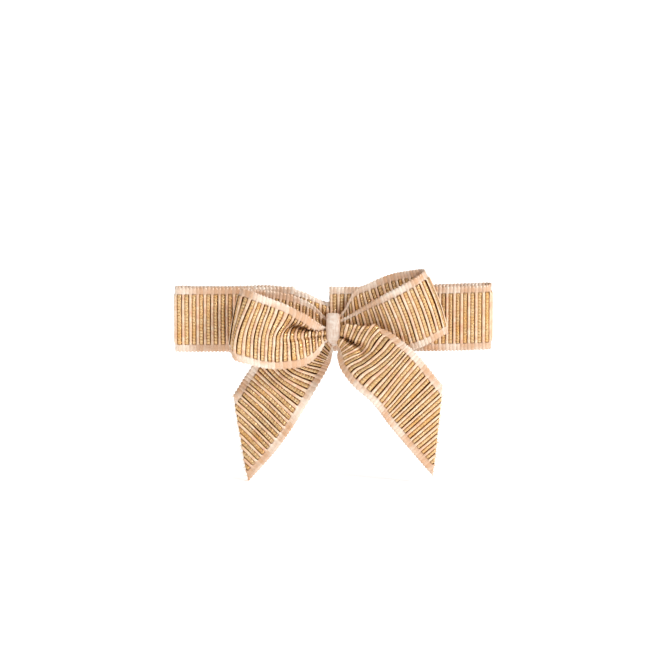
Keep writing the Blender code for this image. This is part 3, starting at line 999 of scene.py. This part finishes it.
@dataclass
class Band:
    """The flat ribbon band behind the bow: one length with its cut ends behind the knot."""

    centre_z: float = 1.95
    left_end: float = -38.6
    right_end: float = 38.4
    left_cut_end: float = -9.6
    right_cut_end: float = -0.97
    flap_y: float = -3.3
    back_y: float = -1.85
    left_fold_y: float = -4.2
    right_fold_y: float = -6.0
    pinch: float = 4.2
    pinch_reach: float = 7.1151
    pinch_hollow: float = 0.35
    fold_steps: int = 5
    rise: float = 0.9
    flap_shares: tuple[float, ...] = (0.0, 0.12, 0.35, 0.6, 0.82, 0.95)
    back_places: tuple[float, ...] = (34, 24, 12, 7, 3, 0, -3, -7, -12, -24, -34)
    left_fold_reach: float = 0.9
    right_fold_reach: float = 1.8
    left_fold_start: float = 0.8
    right_fold_start: float = 1.5
    thread_length: float = 0.5
    stock: RibbonStock = field(default_factory=RibbonStock)

    def rung(self, x: float, y: float, gather: float = 0.0) -> tuple[Point, ...]:
        """A rung across the band; ``gather`` draws its edges in by that much."""
        half = self.stock.width / 2 - self.stock.picot - gather
        depth = gather * self.pinch_hollow
        middle = self.centre_z + self.rise * max(0.0, x / self.right_end) ** 2
        return (
            (x, y, middle + half),
            (x, y - depth, middle + half * 0.5),
            (x, y, middle),
            (x, y - depth, middle - half * 0.5),
            (x, y, middle - half),
        )

    def flap(self, cut_end: float, fold: float, fold_y: float) -> list[tuple[Point, ...]]:
        """Rungs of the front layer from its cut end to the end fold."""
        rungs = []
        for share in self.flap_shares:
            rise = (1 - math.cos(math.pi * share)) / 2
            x = cut_end + (fold - cut_end) * share
            rungs.append(self.rung(x, self.flap_y + (fold_y - self.flap_y) * rise))
        return rungs

    def fold(self, end: float, front: float, reach: float) -> list[tuple[Point, ...]]:
        """Rungs round an end fold, front to back."""
        side = math.copysign(1.0, end)
        rungs = []
        for step in range(1, self.fold_steps):
            angle = math.pi * step / self.fold_steps
            x = end - side * reach * (1 - math.sin(angle))
            y = (front + self.back_y) / 2 + (front - self.back_y) / 2 * math.cos(angle)
            rungs.append(self.rung(x, y))
        return rungs

    def back(self) -> list[tuple[Point, ...]]:
        """Rungs of the back layer, drawn in behind the knot."""
        rungs = []
        for x in self.back_places:
            gather = self.pinch * math.exp(-((x / self.pinch_reach) ** 2))
            rungs.append(self.rung(x, self.back_y, gather))
        return rungs

    def build(self, relief: RibRelief, thread: bpy.types.Material) -> bpy.types.Object:
        """Make the band and the threads at its cut ends."""
        right_start = self.right_end - self.right_fold_start
        left_start = self.left_end + self.left_fold_start
        rungs = self.flap(self.right_cut_end, right_start, self.right_fold_y)
        rungs += self.fold(self.right_end, self.right_fold_y, self.right_fold_reach)
        rungs += self.back()
        rungs += self.fold(self.left_end, self.left_fold_y, self.left_fold_reach)[::-1]
        rungs += self.flap(self.left_cut_end, left_start, self.left_fold_y)[::-1]
        run = RibbonRun("band_ribbon_weave", rungs, rows=22)
        piece, length = run.build()
        piece = relief.tree.apply_to(piece)
        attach(piece, "bow_base")
        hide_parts("band_ribbon")
        for side, end in zip(("right", "left"), run.cut_ends):
            cut_threads = CutThreads(length=self.thread_length)
            threads = cut_threads.grow("band_" + side + "_threads", end, thread)
            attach(threads, "bow_base")
        LOG.info("%s: %.1f mm of ribbon", piece.name, length)
        return piece


@dataclass
class Knot:
    """The pinch: gathered ribbon inside a narrow satin strip."""

    centre_y: float = -7.25
    half_depth: float = 2.5
    half_height: float = 3.5
    strip_width: float = 3.4
    strip_thickness: float = 0.22
    left_taper: float = 1.3
    right_taper: float = 0.4
    crown: float = 0.42
    squareness: float = 2.15
    steps: int = 96
    rows: int = 14
    overlap: float = 0.03
    overlap_start: float = 0.93
    overlap_lift: float = 1.3
    sideways: float = -0.1
    stack_start_y: float = -8.9
    stack_depth: float = 3.3
    stack_folds: int = 6
    stack_half_height: float = 2.6

    def outline(self, angle: float, grow: float = 0.0) -> tuple[float, float]:
        """Point (y, z) of the strip's course at an angle from the back."""
        cos, sin = math.cos(angle), math.sin(angle)
        power = 2 / self.squareness
        y = self.centre_y + (self.half_depth + grow) * math.copysign(abs(cos) ** power, cos)
        z = (self.half_height + grow) * math.copysign(abs(sin) ** power, sin)
        return y, z

    def strip(self, satin: bpy.types.Material) -> bpy.types.Object:
        """The satin strip, whose ends overlap at the back."""
        points = []
        for step in range(self.steps + 1):
            share = step / self.steps
            angle = 2 * math.pi * share * (1 + self.overlap)
            past = max(0.0, share - self.overlap_start) / (1 - self.overlap_start)
            lift = self.strip_thickness * self.overlap_lift * past
            y, z = self.outline(angle, lift)
            low = max(0.0, -z / self.half_height)
            left = self.sideways - self.strip_width / 2 + self.left_taper * low**3
            right = self.sideways + self.strip_width / 2 - self.right_taper * low**3
            for row in range(self.rows + 1):
                across = row / self.rows
                crown = self.crown * (1 - (2 * across - 1) ** 4)
                out_y = y + crown * math.cos(angle)
                out_z = z + crown * math.sin(angle)
                points.append((left + (right - left) * across, out_y, out_z))
        faces = []
        stride = self.rows + 1
        for step in range(self.steps):
            for row in range(self.rows):
                first = step * stride + row
                faces.append((first, first + stride, first + stride + 1, first + 1))
        piece = mesh_piece("knot_wrap_strip", points, faces)
        self.unwrap(piece, stride)
        piece.data.shade_smooth()
        solidify = piece.modifiers.new("Thickness", "SOLIDIFY")
        solidify.thickness = self.strip_thickness * MM
        solidify.offset = 0
        smooth = piece.modifiers.new("Smooth", "SUBSURF")
        smooth.levels = smooth.render_levels = 1
        piece.data.materials.append(satin)
        piece = plain_mesh(piece)
        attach(piece, "bow_base")
        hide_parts("knot_wrap")
        return piece

    def unwrap(self, piece: bpy.types.Object, stride: int) -> None:
        """UV map: U runs round the strip and V across it."""
        layer = piece.data.uv_layers.new(name="UVMap")
        vertex = np.zeros(len(piece.data.loops), int)
        piece.data.loops.foreach_get("vertex_index", vertex)
        place = np.stack([vertex // stride / 4.0, vertex % stride / self.rows], axis=1)
        layer.data.foreach_set("uv", place.ravel())

    def core(self, relief: RibRelief) -> bpy.types.Object:
        """The gathered ribbon inside the strip: a folded stack that fills the pinch."""
        stack = []
        for fold in range(self.stack_folds + 1):
            y = self.stack_start_y + self.stack_depth * fold / self.stack_folds
            side = 1 if fold % 2 else -1
            stack.append((y, side * self.stack_half_height))
        rungs = []
        for x in (-1.5, -0.5, 0.5, 1.5):
            rungs.append(tuple((x, y, z) for y, z in stack))
        run = RibbonRun("bow_centre_gathers", rungs, rows=48)
        piece, _ = run.build()
        piece = relief.tree.apply_to(piece)
        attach(piece, "bow_base")
        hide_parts("bow_centre")
        return piece

    def build(self, relief: RibRelief, satin: bpy.types.Material) -> None:
        """Make the core and the strip."""
        self.core(relief)
        self.strip(satin)
        LOG.info("knot: strip %.1f mm wide", self.strip_width)


@dataclass
class StickyBack:
    """The foam pad, its release liner and the glue, which keep the frame's meshes."""

    finishes: dict[str, Finish] = field(
        default_factory=lambda: {
            "adhesive_pad": Finish.FOAM,
            "release_liner": Finish.PAPER,
            "bow_glue": Finish.GLUE,
            "left_flap_glue": Finish.GLUE,
            "right_flap_glue": Finish.GLUE,
        }
    )

    def dress(self, nodes: dict[str, bpy.types.Object]) -> None:
        """Give each node its material."""
        made = {finish: finish.value.material() for finish in set(self.finishes.values())}
        for name, finish in self.finishes.items():
            nodes[name].data.materials.clear()
            nodes[name].data.materials.append(made[finish])
            LOG.info("%s: %s", name, finish.name.lower())


@dataclass
class Studio:
    """White floor, soft lights and the camera."""

    floor_z: float = -37.2
    floor_half: float = 3000.0
    elevation: float = math.radians(9.0)
    distance: float = 900.0
    view_width: float = 160.0
    target: Point = (-0.85, -9.8, 0.25)
    key_from: Point = (0.85, -0.7, 0.75)
    top_from: Point = (0.0, 0.1, 1.0)
    floor_glow: float = 0.54
    wall_light: float = 1.02
    ceiling_light: float = 0.2
    wall_fade: float = 0.12
    wall_top: float = 0.22

    def floor(self) -> None:
        """A plain white floor."""
        half = self.floor_half
        corners = [(-half, -half), (half, -half), (half, half), (-half, half)]
        points = [(x, y, self.floor_z) for x, y in corners]
        piece = mesh_piece("studio_floor", points, [(0, 1, 2, 3)])
        shader = Shader("studio_floor_white")
        white = (0.93, 0.93, 0.93, 1)
        glow = {"Emission_Color": white, "Emission_Strength": self.floor_glow}
        piece.data.materials.append(shader.surface(Base_Color=white, Roughness=0.6, **glow))

    def light(self, name: str, place: Point, softness: float, strength: float) -> None:
        """A far, soft light.

        Args:
            name: its name.
            place: the direction that it shines from.
            softness: the angle that it fills, in degrees.
            strength: irradiance.
        """
        data = bpy.data.lights.new(name, "SUN")
        data.angle = math.radians(softness)
        data.energy = strength
        piece = link(bpy.data.objects.new(name, data))
        piece.rotation_euler = (-Vector(place)).to_track_quat("-Z", "Y").to_euler()

    def surroundings(self) -> None:
        """White walls at the horizon under a dimmer ceiling."""
        world = bpy.data.worlds.new("studio")
        world.use_nodes = True
        graph = Graph(world.node_tree)
        place = graph.node("ShaderNodeTexCoord")
        direction = graph.node("ShaderNodeSeparateXYZ", None, graph.other(place, "Generated"))
        wall = graph.other(direction, "Z").ramp(self.wall_top, self.wall_fade)
        light = wall * (self.wall_light - self.ceiling_light) + self.ceiling_light
        background = world.node_tree.nodes["Background"]
        background.inputs["Color"].default_value = (1, 1, 1, 1)
        graph.feed(background.inputs["Strength"], light)
        bpy.context.scene.world = world

    def camera(self) -> None:
        """A long lens a little above the knot's height."""
        data = bpy.data.cameras.new("camera")
        data.sensor_width = 36.0
        data.lens = 36.0 * self.distance / self.view_width
        data.clip_start = 0.01
        piece = link(bpy.data.objects.new("camera", data))
        back = Vector((0, -math.cos(self.elevation), math.sin(self.elevation)))
        piece.location = (Vector(self.target) + back * self.distance) * MM
        piece.rotation_euler = (-back).to_track_quat("-Z", "Y").to_euler()
        bpy.context.scene.camera = piece

    def build(self) -> None:
        """Set up the studio."""
        self.floor()
        self.light("key", self.key_from, softness=12, strength=1.9)
        self.light("top", self.top_from, softness=50, strength=1.35)
        self.surroundings()
        bpy.context.scene.view_settings.view_transform = "Standard"
        self.camera()


def main() -> None:
    """Load the frame, build the bow round it and set up the studio."""
    logging.basicConfig(level=logging.INFO, format="%(name)s: %(message)s")
    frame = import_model()
    thread = Finish.THREAD.value.material()
    relaxed = RibbedWeave("band_ribbed_weave", openness=0.55)
    Band().build(RibRelief(RibbonStock(), relaxed.material()), thread)
    relief = RibRelief(RibbonStock(), RibbedWeave("bow_ribbed_weave").material())
    for limb in (LEFT_LOOP, RIGHT_LOOP, LEFT_TAIL, RIGHT_TAIL):
        limb.build(relief, thread)
    Knot().build(relief, PaleSatin().material())
    StickyBack().dress(frame["nodes"])
    Studio().build()


if __name__ == "__main__":
    main()
